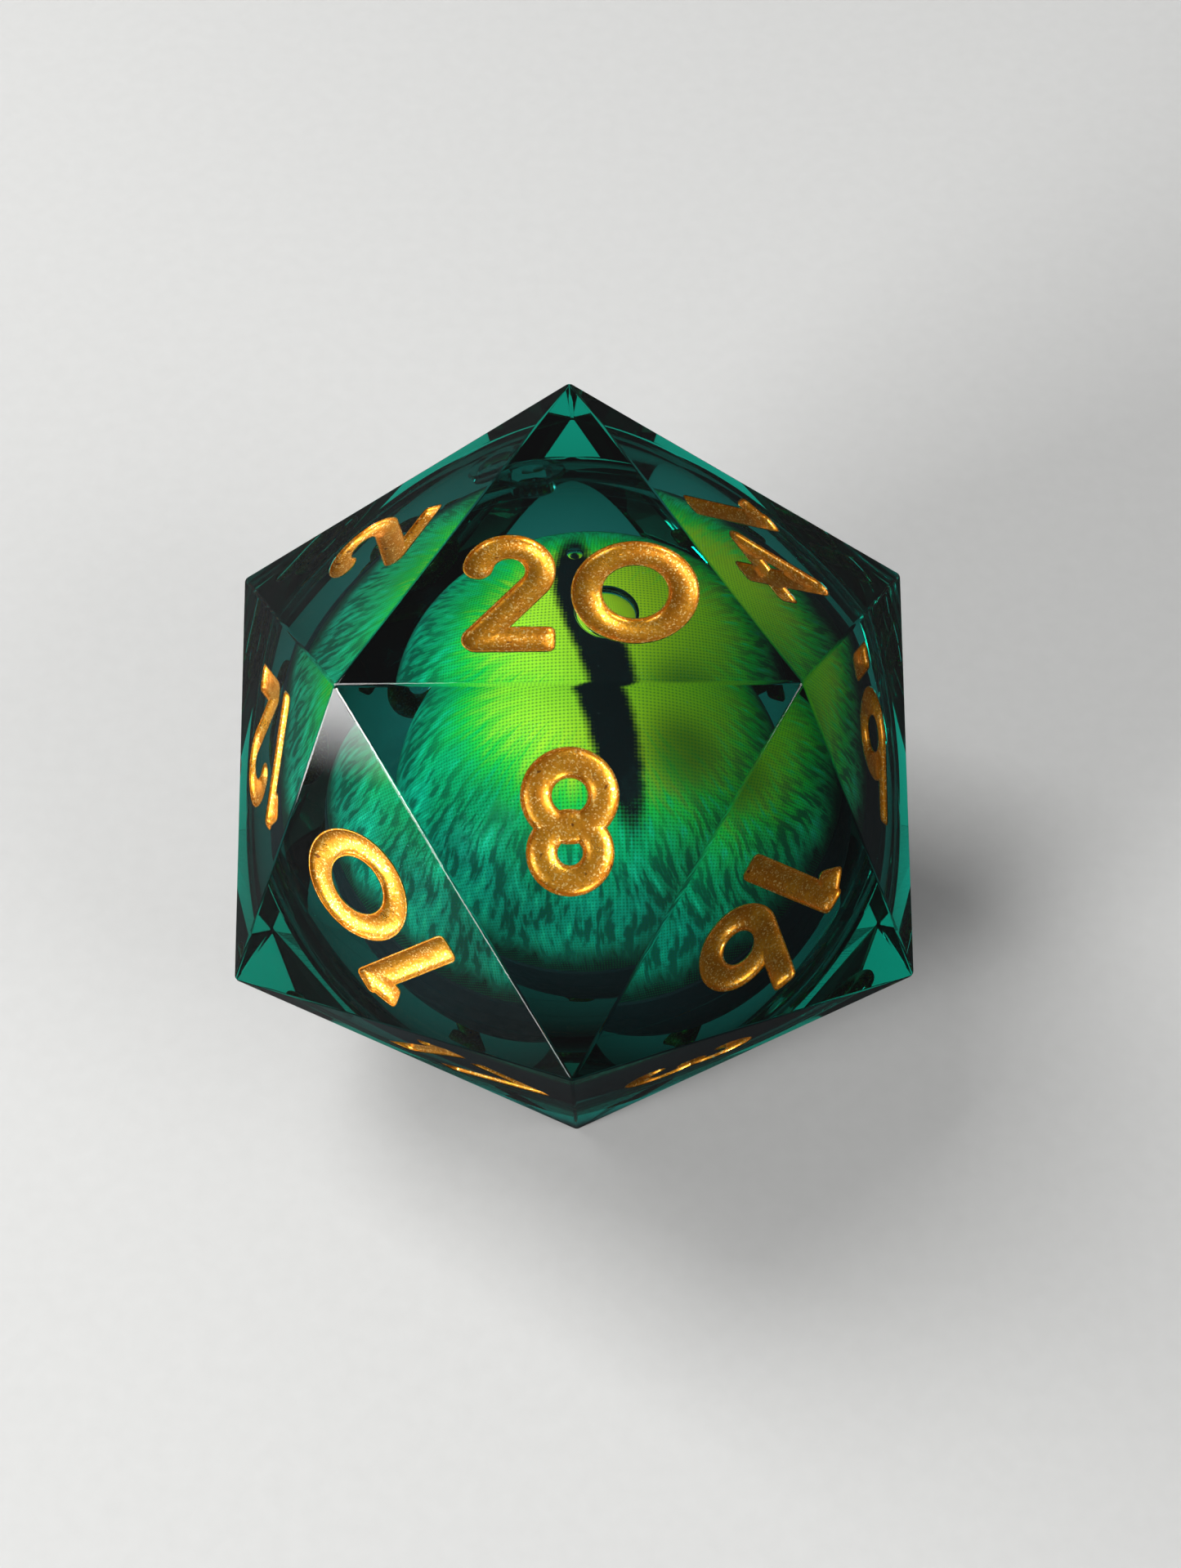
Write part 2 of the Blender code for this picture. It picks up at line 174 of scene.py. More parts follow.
# digit: (half its width, its strokes as (centre line, shape of its start, shape of its end))
DIGITS = {
    0: (3.25, [(bend(0, 0, 2.47, 2.5, 0, 360), ROUND, ROUND)]),
    1: (
        1.2,
        [
            (straight((0.4, TOP), (0.4, -TOP)), SQUARE, SQUARE),
            (straight((0.35, TOP - 0.05), (-0.5, TOP - 0.55)), ROUND, SQUARE),
        ],
    ),
    2: (
        2.35,
        [
            (
                bend(0, TOP - 1.6, 1.6, 1.6, 170, -30)
                + straight((1.386, TOP - 2.4), (-1.55, -TOP))[1:],
                ROUND,
                ROUND,
            ),
            (straight((-1.55, -TOP), (1.6, -TOP)), ROUND, SQUARE),
        ],
    ),
    3: (
        2.4,
        [
            (bend(-0.1, TOP - 1.45, 1.5, 1.45, 150, -90), ROUND, ROUND),
            (bend(-0.1, 1.63 - TOP, 1.65, 1.63, 90, -150), ROUND, ROUND),
        ],
    ),
    4: (
        2.8,
        [
            (straight((0.8, TOP), (-2.0, -1.3)), ROUND, ROUND),
            (straight((-2.0, -1.3), (2.05, -1.3)), ROUND, SQUARE),
            (straight((0.8, TOP), (0.8, -TOP)), ROUND, SQUARE),
        ],
    ),
    5: (
        2.4,
        [
            (straight((1.4, TOP), (-1.2, TOP)), SQUARE, ROUND),
            (straight((-1.2, TOP), (-1.45, 0.35)), ROUND, ROUND),
            (bend(-0.1, 1.8 - TOP, 1.75, 1.8, 140, -150), ROUND, ROUND),
        ],
    ),
    6: (
        2.55,
        [
            (bend(0, 1.78 - TOP, 1.78, 1.78, 0, 360), ROUND, ROUND),
            (straight((-1.5, -0.25), (0.5, TOP)), ROUND, SQUARE),
        ],
    ),
    7: (
        2.4,
        [
            (straight((-1.6, TOP), (1.6, TOP)), SQUARE, ROUND),
            (straight((1.6, TOP), (-0.6, -TOP)), ROUND, SQUARE),
        ],
    ),
    8: (
        2.5,
        [
            (bend(0, TOP - 1.42, 1.42, 1.42, 0, 360), ROUND, ROUND),
            (bend(0, 1.66 - TOP, 1.68, 1.66, 0, 360), ROUND, ROUND),
        ],
    ),
    "bar": (1.6, [(straight((-0.8, 0), (0.8, 0)), SQUARE, SQUARE)]),
}
DIGITS[9] = (
    DIGITS[6][0],
    [([(-x, -y) for x, y in line], a, b) for line, a, b in DIGITS[6][1]],
)
BAR_Y = -(DIGIT_H / 2 + 1.5)


# ---- meshes -----------------------------------------------------------------------------------
def mesh_from(name, points, faces):
    """A mesh with its faces turned outward."""
    made = bpy.data.meshes.new(name)
    made.from_pydata([tuple(p) for p in points], [], faces)
    shape = bmesh.new()
    shape.from_mesh(made)
    bmesh.ops.recalc_face_normals(shape, faces=shape.faces)
    shape.to_mesh(made)
    shape.free()
    return made


def booleans(mesh, steps):
    """The mesh after (operation, other mesh) steps."""
    base = bpy.data.objects.new("base", mesh)
    bpy.context.scene.collection.objects.link(base)
    others = []
    for operation, other in steps:
        cutter = bpy.data.objects.new("other", other)
        bpy.context.scene.collection.objects.link(cutter)
        others.append(cutter)
        step = base.modifiers.new("step", "BOOLEAN")
        step.operation, step.object, step.solver = operation, cutter, "MANIFOLD"
    bpy.context.view_layer.update()
    graph = bpy.context.evaluated_depsgraph_get()
    result = bpy.data.meshes.new_from_object(base.evaluated_get(graph))
    for used in [base, *others]:
        bpy.data.objects.remove(used)
    return result


STROKE_TOP = 0.5  # mm a stroke's solid stands above the face, so that it cuts cleanly
STROKE_LIP = 0.06  # mm of upright wall under the face, before the channel rounds
ROUND_STEPS = 9  # of the channel from wall to floor
CAP_STEPS = 14  # round a stroke's end


def stroke_solid(line, half, depth, start, end):
    """A half round channel along a centre line, as a solid that stands above the face, in mm."""
    closed = math.dist(line[0], line[-1]) < 1e-6
    path = [Vector(p) for p in (line[:-1] if closed else line)]
    count = len(path)
    profile = [(half, STROKE_TOP), (half, -STROKE_LIP)]
    for k in range(1, ROUND_STEPS):
        t = math.pi / 2 * k / ROUND_STEPS
        drop = STROKE_LIP + (depth - STROKE_LIP) * math.sin(t)
        profile.append((half * math.cos(t), -drop))
    points, faces, middles = [], [], []

    def add(x, y, z):
        points.append((x * MM, y * MM, z * MM))
        return len(points) - 1

    for p in path:
        middles.append((add(p.x, p.y, STROKE_TOP), add(p.x, p.y, -depth)))

    def station(i, along, reach):
        """The half profile at path point i, out along a unit vector."""
        p = path[i]
        ring = [middles[i][0]]
        for u, z in profile:
            ring.append(add(p.x + along.x * u * reach, p.y + along.y * u * reach, z))
        return ring + [middles[i][1]]

    normals = []
    for i in range(count):
        before = path[i] - path[i - 1] if closed or i else path[1] - path[0]
        after = path[(i + 1) % count] - path[i] if closed or i < count - 1 else before
        n1 = Vector((-before.y, before.x)).normalized()
        n2 = Vector((-after.y, after.x)).normalized()
        n = (n1 + n2).normalized()
        normals.append((n, 1 / max(0.5, n.dot(n1))))
    left = [station(i, n, reach) for i, (n, reach) in enumerate(normals)]
    right = [station(i, -n, reach) for i, (n, reach) in enumerate(normals)]
    if closed:
        rings = [left, right[::-1]]
    else:
        caps = []
        for i, sign, power in ((count - 1, 1, end), (0, -1, start)):
            side = normals[i][0] * sign
            ahead = Vector((side.y, -side.x))
            fan = []
            for k in range(1, CAP_STEPS):
                t = math.pi * k / CAP_STEPS
                c, s = math.cos(t), math.sin(t)
                swell = (abs(c) ** power + abs(s) ** power) ** (-1 / power)
                fan.append(station(i, side * c + ahead * s, swell))
            caps.append(fan)
        rings = [left + caps[0] + right[::-1] + caps[1]]
    for loop in rings:
        for a, b in zip(loop, loop[1:] + loop[:1]):
            for j in range(len(a) - 1):
                face = list(dict.fromkeys((a[j], a[j + 1], b[j + 1], b[j])))
                if len(face) > 2:
                    faces.append(face)
    return mesh_from("stroke", points, faces)


def glyph_solid(digit, half, depth):
    """All strokes of a digit joined."""
    solids = [stroke_solid(line, half, depth, a, b) for line, a, b in DIGITS[digit][1]]
    if len(solids) == 1:
        return solids[0]
    return booleans(solids[0], [("UNION", s) for s in solids[1:]])


def block(half, low, high):
    """A square block about the Z axis."""
    points = [(x, y, z) for x in (-half, half) for y in (-half, half) for z in (low, high)]
    faces = [(0, 1, 3, 2), (4, 5, 7, 6), (0, 1, 5, 4), (2, 3, 7, 6), (0, 2, 6, 4), (1, 3, 7, 5)]
    return mesh_from("block", points, faces)


def smooth(mesh, angle=40.0):
    """Round shading, but for edges sharper than the angle in degrees."""
    mesh.polygons.foreach_set("use_smooth", [True] * len(mesh.polygons))
    mesh.set_sharp_from_angle(angle=math.radians(angle))


def add_piece(name, mesh, look, body, slot, *replaced, place=None):
    """A piece on a CAD body, in place of the CAD nodes named. Look is None if the mesh has one."""
    made = bpy.data.objects.new(name, mesh)
    bpy.context.scene.collection.objects.link(made)
    if place is not None:
        made.matrix_world = place
    if look is not None:
        mesh.materials.clear()
        mesh.materials.append(look)
    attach(made, body)
    if replaced:
        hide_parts(*replaced)
    return made


def lathe_mesh(profile, segments=128):
    """Turns (r, z) points about Z. The profile starts and ends on the axis, or closes on itself."""
    points, rows, faces = [], [], []
    for r, z in profile:
        if r < 1e-9:
            rows.append([len(points)] * segments)
            points.append((0, 0, z))
            continue
        rows.append([len(points) + i for i in range(segments)])
        for i in range(segments):
            t = 2 * math.pi * i / segments
            points.append((r * math.cos(t), r * math.sin(t), z))
    pairs = list(zip(rows, rows[1:]))
    if profile[0][0] > 1e-9:
        pairs.append((rows[-1], rows[0]))
    for low, high in pairs:
        for i in range(segments):
            j = (i + 1) % segments
            face = list(dict.fromkeys((low[i], low[j], high[j], high[i])))
            if len(face) > 2:
                faces.append(face)
    made = mesh_from("lathe", points, faces)
    smooth(made)
    return made


def arc(radius, start, end, steps):
    """(r, z) points on a circle, by angle from the Z axis, for lathe_mesh."""
    angles = [start + (end - start) * i / steps for i in range(steps + 1)]
    return [(abs(radius * math.sin(t)), radius * math.cos(t)) for t in angles]


def facing(direction, about=CENTRE):
    """Where a piece made about the origin goes, with its Z axis turned to a direction."""
    turn = Vector((0, 0, 1)).rotation_difference(Vector(direction))
    return Matrix.Translation(about) @ turn.to_matrix().to_4x4()


# ---- materials --------------------------------------------------------------------------------
class Look:
    """A material under construction. Values given to a node may be plain or another's output."""

    def __init__(self, name):
        self.material = bpy.data.materials.new(name)
        self.material.use_nodes = True
        self.tree = self.material.node_tree
        self.tree.nodes.clear()
        self.out = self.tree.nodes.new("ShaderNodeOutputMaterial")

    def node(self, kind, inputs=(), **settings):
        made = self.tree.nodes.new("ShaderNode" + kind)
        for key, value in settings.items():
            setattr(made, key, value)
        pairs = inputs.items() if isinstance(inputs, dict) else enumerate(inputs)
        for key, value in pairs:
            if value is None:
                continue
            if isinstance(value, bpy.types.NodeSocket):
                self.tree.links.new(value, made.inputs[key])
            elif isinstance(value, (tuple, list)) and made.inputs[key].type == "RGBA":
                made.inputs[key].default_value = (*value[:3], 1)
            else:
                made.inputs[key].default_value = value
        return made

    def maths(self, operation, *values):
        return self.node("Math", values, operation=operation).outputs[0]

    def vector(self, operation, *values):
        made = self.node("VectorMath", values, operation=operation)
        plain = operation in ("LENGTH", "DOT_PRODUCT", "DISTANCE")
        return made.outputs["Value" if plain else "Vector"]

    def mix(self, factor, a, b):
        """One colour over another."""
        return self.node("Mix", {0: factor, 6: a, 7: b}, data_type="RGBA").outputs[2]

    def step(self, value, low, high, to_low=0.0, to_high=1.0):
        """A smooth change between two values."""
        return self.node(
            "MapRange",
            {0: value, 1: low, 2: high, 3: to_low, 4: to_high},
            interpolation_type="SMOOTHSTEP",
        ).outputs[0]

    def noise(self, vector, scale, detail=2.0, rough=0.5):
        return self.node(
            "TexNoise", {"Vector": vector, "Scale": scale, "Detail": detail, "Roughness": rough}
        ).outputs[0]

    def bump(self, height, strength, distance):
        return self.node(
            "Bump", {"Height": height, "Strength": strength, "Distance": distance}
        ).outputs[0]

    def surface(self, shader):
        self.tree.links.new(shader.outputs[0], self.out.inputs["Surface"])
        return self.material


def clear_look(name, ior, roughness, volume=None, density=0.0, seat=None):
    """Clear stuff. The volume is the tint of its depth. Seat is (radius, index): nearer the die's
    centre than that the surface takes that index, as it meets the core there and not air."""
    look = Look(name)
    if ior < 1:  # the socket itself doesn't take less than 1
        index = look.node("Value")
        index.outputs[0].default_value = ior
        ior = index.outputs[0]
    if seat:
        at = look.node("TexCoord").outputs["Object"]
        from_centre = look.vector("DISTANCE", at, tuple(CENTRE))
        ior = look.step(from_centre, seat[0], seat[0] + SEAT_FADE, seat[1], ior)
    glass = look.node(
        "BsdfPrincipled",
        {
            "Base Color": (1, 1, 1),
            "Roughness": roughness,
            "IOR": ior,
            "Transmission Weight": 1.0,
        },
    )
    if volume:
        absorb = look.node("VolumeAbsorption", {"Color": volume, "Density": density})
        look.tree.links.new(absorb.outputs[0], look.out.inputs["Volume"])
    return look.surface(glass)


def gold_look():
    """Orange gold ink, dried unevenly and full of fine glitter."""
    look = Look("gold_ink")
    at = look.node("TexCoord").outputs["Object"]
    flakes = look.node("TexVoronoi", {"Vector": at, "Scale": 12500.0}, feature="F1")
    flake_tone = look.node("SeparateColor", [flakes.outputs["Color"]]).outputs[0]
    fine = look.noise(at, 4200.0, 3.0, 0.6)
    patches = look.noise(at, 700.0, 3.0, 0.55)
    colour = look.mix(look.step(patches, 0.35, 0.7), (0.52, 0.19, 0.008), (0.80, 0.36, 0.022))
    colour = look.mix(look.step(flake_tone, 0.76, 0.98, 0, 0.85), colour, (1.0, 0.74, 0.26))
    colour = look.mix(look.step(flake_tone, 0.22, 0.0, 0, 0.4), colour, (0.30, 0.09, 0.006))
    # small dark spots in the ink's colour
    dark_spots = look.step(look.noise(at, 1500.0, 2.0, 0.5), 0.70, 0.76)
    colour = look.mix(dark_spots, colour, (0.22, 0.07, 0.01))
    height = look.maths("MULTIPLY_ADD", flake_tone, 0.5, fine)
    height = look.maths("MULTIPLY_ADD", patches, 1.5, height)
    shader = look.node(
        "BsdfPrincipled",
        {
            "Base Color": colour,
            "Metallic": 0.85,
            "Roughness": look.step(patches, 0.3, 0.75, 0.42, 0.26),
            "Normal": look.bump(height, 0.6, 0.03 * MM),
            "Coat Weight": 0.12,
            "Coat Roughness": 0.2,
        },
    )
    return look.surface(shader)


PUPIL_AT = (7.5, 12.5)  # degrees from the print's middle, right and up
PUPIL_HALF = (6.4, 44.0)  # degrees, across and along
PUPIL_LEAN = math.radians(11.3)
LIME_AT = (6.0, 14.0)  # degrees, where the fibres run out from
IRIS_EDGE = 78.0  # degrees, where the print has gone black
SCREEN_PITCH = 1.09  # degrees, 0.21 mm on the print
# degrees out from the lime where a colour begins and where it is full, and the colour
IRIS_ZONES = (
    (20.0, 40.0, (0.03, 0.72, 0.05)),
    (34.0, 52.0, (0.0, 0.52, 0.17)),
    (48.0, 72.0, (0.0, 0.40, 0.26)),
)


def iris_look():
    """The printed iris. Its plane coordinates are degrees from the middle of the print."""
    look = Look("iris_print")
    at = look.node("TexCoord").outputs["Object"]
    z = look.node("SeparateXYZ", [at]).outputs[2]
    flat = look.vector("MULTIPLY", at, (1, 1, 0))
    from_axis = look.maths("ARCTAN2", look.vector("LENGTH", flat), z)
    degrees = look.maths("MULTIPLY", from_axis, 180 / math.pi)
    spread = look.node(
        "VectorMath", {0: look.vector("NORMALIZE", flat), 3: degrees}, operation="SCALE"
    ).outputs[0]
    px, py = look.node("SeparateXYZ", [spread]).outputs[:2]

    # fibres run outward from the pupil and bend a little on their way
    away = look.vector("SUBTRACT", spread, (*LIME_AT, 0))
    reach = look.vector("LENGTH", away)
    ax, ay = look.node("SeparateXYZ", [away]).outputs[:2]
    bent = look.maths("MULTIPLY", look.noise(spread, 0.03, 1.0), 0.2)
    turn = look.maths("ADD", look.maths("ARCTAN2", ay, ax), bent)

    def fibres(around, length, detail):
        """Noise drawn out into fibres, so many to a radian and so many degrees long."""
        place = look.node(
            "CombineXYZ",
            [
                look.maths("MULTIPLY", look.maths("COSINE", turn), around),
                look.maths("MULTIPLY", look.maths("SINE", turn), around),
                look.maths("DIVIDE", reach, length),
            ],
        ).outputs[0]
        return look.noise(place, 1.0, detail, 0.55)

    clumps = fibres(6.0, 30.0, 1.0)
    strands = fibres(27.0, 9.0, 2.0)
    hairs = fibres(60.0, 14.0, 1.0)
    ragged = look.maths("MULTIPLY", look.maths("SUBTRACT", strands, 0.5), 26.0)
    ragged = look.maths(
        "MULTIPLY_ADD", look.maths("SUBTRACT", clumps, 0.5), 16.0, ragged
    )
    wider = look.step(px, 8.0, 50.0, 0.0, 16.0)
    zone = look.maths("SUBTRACT", look.maths("ADD", reach, ragged), wider)
    rim = look.maths("ADD", degrees, look.maths("MULTIPLY", ragged, 0.7))

    # the lime is paler on the left and darker, more olive, on the right
    lime = look.mix(look.step(px, -12.0, 26.0), (0.90, 0.96, 0.035), (0.78, 0.66, 0.010))
    colour = lime
    for inner, full, tone in IRIS_ZONES:
        colour = look.mix(look.step(zone, inner, full), colour, tone)
    # dark gaps between the fibres, deeper toward the rim
    outer = look.step(reach, 30.0, 64.0)
    gaps = look.maths("MULTIPLY", look.step(strands, 0.54, 0.40), outer)
    colour = look.mix(look.maths("MULTIPLY", gaps, 0.85), colour, (0.0, 0.06, 0.05))
    thin = look.maths("MULTIPLY", look.step(hairs, 0.58, 0.38, 0.0, 0.3), outer)
    colour = look.mix(thin, colour, (0.0, 0.10, 0.06))
    tips = look.maths("MULTIPLY", look.step(strands, 0.56, 0.72, 0.0, 0.6), outer)
    colour = look.mix(tips, colour, (0.015, 0.85, 0.46))
    colour = look.mix(look.step(rim, IRIS_EDGE - 12, IRIS_EDGE), colour, (0.008, 0.012, 0.016))
    # painted shadow: an olive patch right of the pupil, where a numeral's shadow falls on the print
    painted_shadow_reach = look.vector("LENGTH", look.vector("SUBTRACT", spread, (30.0, -9.0, 0)))
    colour = look.mix(look.step(painted_shadow_reach, 18.0, 3.0, 0.0, 0.75), colour, (0.11, 0.15, 0.002))

    # the printer's screen: a fine grid of dots
    rows = look.maths("SINE", look.maths("MULTIPLY", py, 2 * math.pi / SCREEN_PITCH))
    columns = look.maths("SINE", look.maths("MULTIPLY", px, 2 * math.pi / SCREEN_PITCH))
    screen = look.maths("MULTIPLY_ADD", rows, 0.6, look.maths("MULTIPLY", columns, 0.5))
    colour = look.mix(look.step(screen, 0.1, -0.9, 0.0, 0.6), colour, (0.0, 0.12, 0.03))

    # pupil: a leaning slit, bowed to the left above its middle, with a dotted edge
    rel = look.vector("SUBTRACT", spread, (*PUPIL_AT, 0))
    c, s = math.cos(PUPIL_LEAN), math.sin(PUPIL_LEAN)
    along = look.vector("DOT_PRODUCT", rel, (-s, c, 0))
    bow = look.step(look.maths("ABSOLUTE", look.maths("SUBTRACT", along, 20.0)), 36.0, 0.0, 0, 3.6)
    across = look.maths("ADD", look.vector("DOT_PRODUCT", rel, (c, s, 0)), bow)
    wide = look.maths("POWER", look.maths("ABSOLUTE", look.maths("DIVIDE", across, PUPIL_HALF[0])), 2.0)
    long = look.maths("POWER", look.maths("ABSOLUTE", look.maths("DIVIDE", along, PUPIL_HALF[1])), 3.0)
    slit = look.maths("ADD", wide, long)
    slit = look.maths("ADD", slit, look.maths("MULTIPLY", screen, 0.14))
    slit = look.maths(
        "ADD", slit, look.maths("MULTIPLY", look.noise(at, 1700.0, 2.0), 0.5)
    )
    colour = look.mix(look.step(slit, 1.95, 0.95), colour, (0.004, 0.006, 0.007))
    specks = look.step(look.noise(at, 2600.0, 1.0), 0.80, 0.86, 0.0, 0.5)
    colour = look.mix(specks, colour, (0.5, 0.6, 0.55))
    shader = look.node(
        "BsdfPrincipled",
        {
            "Base Color": colour,
            "Roughness": 0.5,
            "Specular IOR Level": 0.05,
            "Normal": look.bump(screen, 0.15, 0.01 * MM),
        },
    )
    return look.surface(shader)


def plain_look(name, colour, roughness, metallic=0.0, shine=0.5):
    """A solid colour with a little unevenness in tone and shine."""
    look = Look(name)
    at = look.node("TexCoord").outputs["Object"]
    tone = look.noise(at, PLAIN_GRAIN, 3.0)
    shader = look.node(
        "BsdfPrincipled",
        {
            "Base Color": look.mix(tone, tuple(c * 0.8 for c in colour), colour),
            "Roughness": look.step(tone, 0.2, 0.8, roughness * 0.85, roughness * 1.15),
            "Metallic": metallic,
            "Specular IOR Level": shine,
            "Normal": look.bump(tone, 0.1, 0.02 * MM),
        },
    )
    return look.surface(shader)


# painted light on the floor: a turquoise glow behind the die, seen only through the resin, and a white
# card, seen only in mirrored rays
PAINTED_GLOW_AT = (4.0 * MM, 24.0 * MM, 0.0)
PAINTED_GLOW_R = 36.0 * MM
PAINTED_GLOW_POWER = 2.2
PAINTED_GLOW_COLOUR = (0.35, 1.0, 0.95)
FLOOR_PAINTED_DARK = (0.012, 0.013, 0.014)  # painted dark: the floor to every ray but the camera's, so the die mirrors it near black and it bounces no light
PAINTED_GLOW_IN_CORE = 0.07  # how much of the painted glow is left when seen through the core
PAINTED_CARD_REFLECTION_X = (-74.0 * MM, -92.0 * MM)  # where the painted reflection of a white card begins and where it is brightest
PAINTED_CARD_REFLECTION_POWER = 10.0


def floor_look():
    """Pale paper, but only to the camera. No real floor does the rest, which is painted light, set to
    bring the die's facets near the photograph, taken on dark cloth. Mirrored in the die, and to all
    other rays, the floor is painted near black, but for a painted reflection of a white card to the
    left, which is no object. Seen through the resin it gives off a painted turquoise glow behind the
    die, standing in for light the resin gathers there, and less after many walls, which is how the core
    is told apart."""
    look = Look("floor_paper")
    at = look.node("TexCoord").outputs["Object"]
    path = look.node("LightPath").outputs
    grain = look.noise(at, 900.0, 4.0)
    pale = look.mix(grain, (0.50, 0.50, 0.49), (0.54, 0.54, 0.53))
    away = look.vector("DISTANCE", at, PAINTED_GLOW_AT)
    # painted glow, standing in for light the resin gathers on the floor behind the die
    painted_glow = look.step(away, PAINTED_GLOW_R, PAINTED_GLOW_R * 0.5, 0.0, PAINTED_GLOW_POWER)
    few = look.step(path["Transmission Depth"], 3.6, 3.4, PAINTED_GLOW_IN_CORE, 1.0)
    painted_glow = look.maths("MULTIPLY", look.maths("MULTIPLY", painted_glow, few), path["Is Transmission Ray"])
    # painted reflection of a white card to the left, for first mirrored rays only
    east, north = look.node("SeparateXYZ", [at]).outputs[:2]
    painted_card_reflection = look.step(east, *PAINTED_CARD_REFLECTION_X, 0.0, PAINTED_CARD_REFLECTION_POWER)
    painted_card_reflection = look.maths("MULTIPLY", painted_card_reflection, look.maths("LESS_THAN", north, 0.0))
    mirrored = look.maths("MULTIPLY", path["Is Glossy Ray"], path["Is Reflection Ray"])
    first = look.maths("LESS_THAN", path["Ray Depth"], 1.5)
    mirrored = look.maths("MULTIPLY", mirrored, first)
    painted_card_reflection = look.maths("MULTIPLY", painted_card_reflection, mirrored)
    shader = look.node(
        "BsdfPrincipled",
        {
            "Base Color": look.mix(path["Is Camera Ray"], FLOOR_PAINTED_DARK, pale),
            "Roughness": 0.8,
            "Emission Color": look.mix(mirrored, PAINTED_GLOW_COLOUR, (1, 1, 1)),
            "Emission Strength": look.maths("ADD", painted_glow, painted_card_reflection),
        },
    )
    return look.surface(shader)


resin = clear_look(
    "teal_resin", RESIN_IOR, 0.01, volume=RESIN_TINT, density=RESIN_DENSITY,
    seat=(CORE_OUTER_R + SEAT_REACH, CORE_IOR),
)
acrylic = clear_look("clear_acrylic", SHELL_IOR, 0.0)
glue = clear_look("clear_glue", GLUE_IOR, 0.1)
air = clear_look("air", AIR_IOR, 0.0)
gold = gold_look()
iris = iris_look()
black = plain_look("black_plastic", (0.010, 0.012, 0.015), 0.6, shine=0.1)
steel = plain_look("steel", (0.55, 0.55, 0.57), 0.3, 1.0)

# ---- numerals ---------------------------------------------------------------------------------
half = STROKE / 2
grooves, inks = {}, {}
below = block(20 * MM, -5 * MM, -GOLD_BELOW_FACE * MM)
for digit in DIGITS:
    grooves[digit] = glyph_solid(digit, half, GROOVE_DEPTH)
    coat = glyph_solid(digit, half + GOLD_LAP, GROOVE_DEPTH + GOLD_LAP)
    hollow = glyph_solid(digit, half - GOLD_THICK, GOLD_DIP)
    inks[digit] = booleans(coat, [("INTERSECT", below), ("DIFFERENCE", hollow)])


def face_place(number):
    """The frame of a number on its face: X right, Y up, Z out of the die."""
    corners, top, shift = FACES[number]
    middle = sum((CORNERS[i] for i in corners), Vector()) / 3
    out = middle.normalized()
    up = (CORNERS[top] - middle).normalized()
    turn = Matrix((up.cross(out), up, out)).transposed().to_4x4()
    move = Matrix.Translation(CENTRE + middle)
    return move @ turn @ Matrix.Translation((shift[0] * MM, shift[1] * MM, 0))


def glyphs(number):
    """(CAD node, digit, shift right, shift up) of each mark on a face, in mm."""
    digits = [int(c) for c in str(number)]
    width = sum(2 * DIGITS[d][0] for d in digits) + DIGIT_SPACE * (len(digits) - 1)
    at, found = -width / 2, []
    for order, digit in enumerate(digits):
        wide = DIGITS[digit][0]
        part = ("_tens", "_units")[order] if len(digits) == 2 else ""
        found.append((f"ink_{number:02d}{part}", digit, at + wide, 0.0))
        at += 2 * wide + DIGIT_SPACE
    if number in (6, 9):
        found.append((f"ink_{number:02d}_underline", "bar", 0.0, BAR_Y))
    return found


all_grooves = bmesh.new()
for number in FACES:
    for node, digit, x, y in glyphs(number):
        place = face_place(number) @ Matrix.Translation((x * MM, y * MM, 0))
        cut = grooves[digit].copy()
        cut.transform(place)
        all_grooves.from_mesh(cut)
        ink = inks[digit].copy()
        ink.transform(place)
        smooth(ink)
        add_piece("gold_" + node[4:], ink, gold, "die", "gold_ink", node)
groove_mesh = bpy.data.meshes.new("grooves")
all_grooves.to_mesh(groove_mesh)
all_grooves.free()

# ---- resin ------------------------------------------------------------------------------------
shape = bmesh.new()
corners = [shape.verts.new(CENTRE + CORNERS[i]) for i in range(12)]
for used, _, _ in FACES.values():
    shape.faces.new([corners[i] for i in used])
bmesh.ops.recalc_face_normals(shape, faces=shape.faces)
bmesh.ops.bevel(
    shape, geom=shape.edges[:] + shape.verts[:], offset=EDGE_ROUND, segments=3, profile=0.5,
    affect="EDGES",
)
body_mesh = bpy.data.meshes.new("die_body")
shape.to_mesh(body_mesh)
shape.free()
body_mesh = booleans(body_mesh, [("DIFFERENCE", groove_mesh)])

shape = bmesh.new()
shape.from_mesh(body_mesh)
seat = bmesh.new()
bmesh.ops.create_icosphere(seat, subdivisions=6, radius=CORE_OUTER_R + SEAT_GAP)
bmesh.ops.translate(seat, verts=seat.verts, vec=CENTRE)
bmesh.ops.reverse_faces(seat, faces=seat.faces)
seat_mesh = bpy.data.meshes.new("seat")
seat.to_mesh(seat_mesh)
seat.free()
body_mesh.materials.clear()
body_mesh.materials.append(resin)
shape.from_mesh(seat_mesh)
shape.to_mesh(body_mesh)
shape.free()
# the twenty faces are truly flat; the polished edges, the grooves and the seat are shaded round
body_mesh.set_sharp_from_angle(angle=math.radians(35))
normals = [sum((CORNERS[i] for i in used), Vector()).normalized() for used, _, _ in FACES.values()]
rounded = [
    max((polygon.center - CENTRE).dot(n) for n in normals) < IN_R - FLAT_SLACK
    for polygon in body_mesh.polygons
]
body_mesh.polygons.foreach_set("use_smooth", rounded)
add_piece("resin_body", body_mesh, None, "die", "teal_resin", "resin_upper", "resin_lower")

# ---- core -------------------------------------------------------------------------------------
for name, flip in (("upper", 1), ("lower", -1)):
    rim = math.asin(CORE_SEAM / CORE_OUTER_R)
    outline = arc(CORE_OUTER_R, 0, math.pi / 2 - rim, 48)
    outline += arc(CORE_INNER_R, math.pi / 2 - rim, 0, 48)
    shell = lathe_mesh([(r, flip * z) for r, z in outline])
    add_piece(
        f"core_{name}", shell, acrylic, "die", "clear_acrylic", f"core_shell_{name}",
        place=Matrix.Translation(CENTRE),
    )

